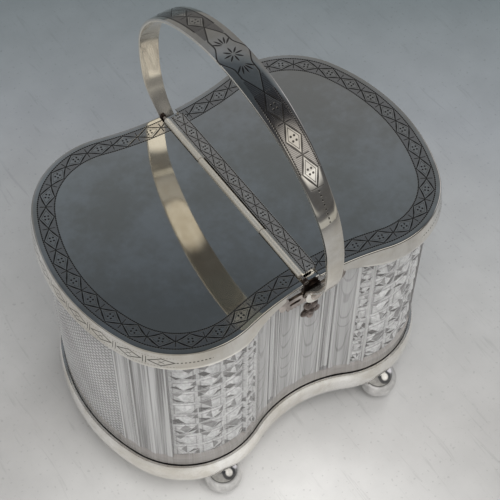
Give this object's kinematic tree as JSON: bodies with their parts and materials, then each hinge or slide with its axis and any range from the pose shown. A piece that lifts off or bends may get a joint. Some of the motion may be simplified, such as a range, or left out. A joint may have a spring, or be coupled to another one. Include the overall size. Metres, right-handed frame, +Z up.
{
  "type": "biscuit jar",
  "caption": "Waisted double biscuit jar: cut-glass body with two compartments, silver-plated hinged lids, rim, base, ball feet and a swing handle.",
  "frame": {"origin": "on the table under the middle of the jar, halfway between its ends and its sides", "axes": "+X along the length through both compartments, to the lid that carries the strap; -Y the front; +Z up"},
  "size_m": [0.2138, 0.166, 0.2587],
  "materials": {
    "cut_glass": "clear cut and pressed glass",
    "silver_plate": "polished silver plate",
    "engraved_plate": "polished silver plate with an engraved lozenge band",
    "pin_metal": "turned metal"
  },
  "bodies": {
    "jar": {"glass_body": "cut_glass", "rim_collar": "silver_plate", "base_band": "silver_plate", "base_plate": "silver_plate", "foot_front_left": "silver_plate", "foot_front_right": "silver_plate", "foot_back_left": "silver_plate", "foot_back_right": "silver_plate", "bracket_front": "silver_plate", "bracket_back": "silver_plate", "blossom_front": "silver_plate", "blossom_back": "silver_plate", "pivot_screw_front": "pin_metal", "pivot_screw_back": "pin_metal", "hinge_pin": "pin_metal"},
    "left_lid": {"lid_left": "engraved_plate", "knuckle_centre": "silver_plate"},
    "right_lid": {"lid_right": "engraved_plate", "hinge_strap": "engraved_plate", "knuckle_front": "silver_plate", "knuckle_back": "silver_plate"},
    "swing_handle": {"handle": "engraved_plate"}
  },
  "joints": [
    {"name": "left_lid_hinge", "type": "hinge", "parent": "jar", "child": "left_lid", "pos_m": [-0.0045, 0, 0.1581], "axis": [0, 1, 0], "range_deg": [0, 84]},
    {"name": "right_lid_hinge", "type": "hinge", "parent": "jar", "child": "right_lid", "pos_m": [-0.0045, 0, 0.1581], "axis": [0, -1, 0], "range_deg": [0, 80]},
    {"name": "handle_swing", "type": "hinge", "parent": "jar", "child": "swing_handle", "pos_m": [0, 0, 0.147], "axis": [0, 1, 0], "range_deg": [-78, 80]}
  ]
}
